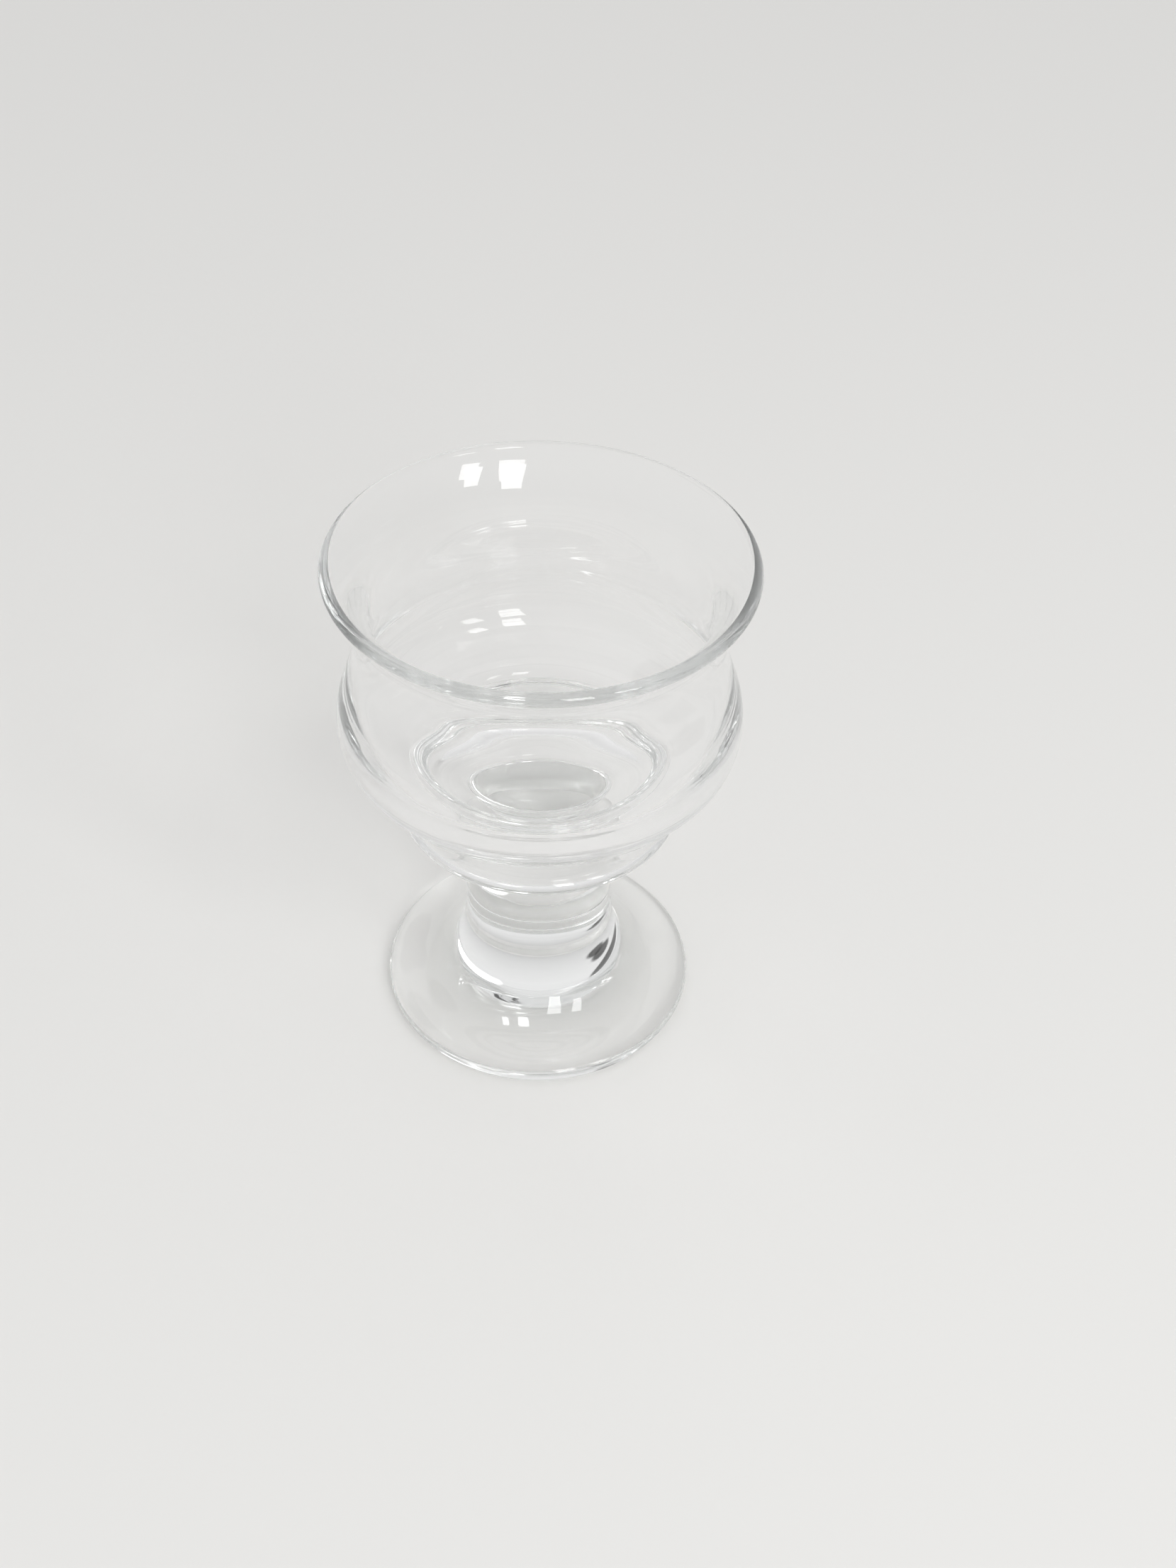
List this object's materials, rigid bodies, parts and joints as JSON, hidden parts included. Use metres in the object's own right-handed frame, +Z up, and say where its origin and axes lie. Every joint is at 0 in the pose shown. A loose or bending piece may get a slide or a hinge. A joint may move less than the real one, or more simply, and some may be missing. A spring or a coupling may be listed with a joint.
{
  "type": "footed drinking glass",
  "caption": "Clear footed drinking glass: a flared bowl with a rounded belly over a solid knop, a short thick stem and a round flat foot.",
  "frame": {"origin": "centre of the foot's standing face, on the surface that the glass stands on", "axes": "+Z up along the axis of the glass, from the foot to the lip; +X and +Y lie in the standing face, and the glass is round about Z"},
  "size_m": [0.076, 0.076, 0.1051],
  "materials": {
    "foot_glass": "clear, fire-polished, ground where it stands",
    "stem_glass": "clear, fire-polished, solid",
    "knop_glass": "clear, fire-polished, solid",
    "bowl_glass": "clear, fire-polished, with a rounded lip"
  },
  "bodies": {
    "root": {"foot": "foot_glass", "stem": "stem_glass", "knop": "knop_glass", "bowl": "bowl_glass"}
  },
  "joints": []
}
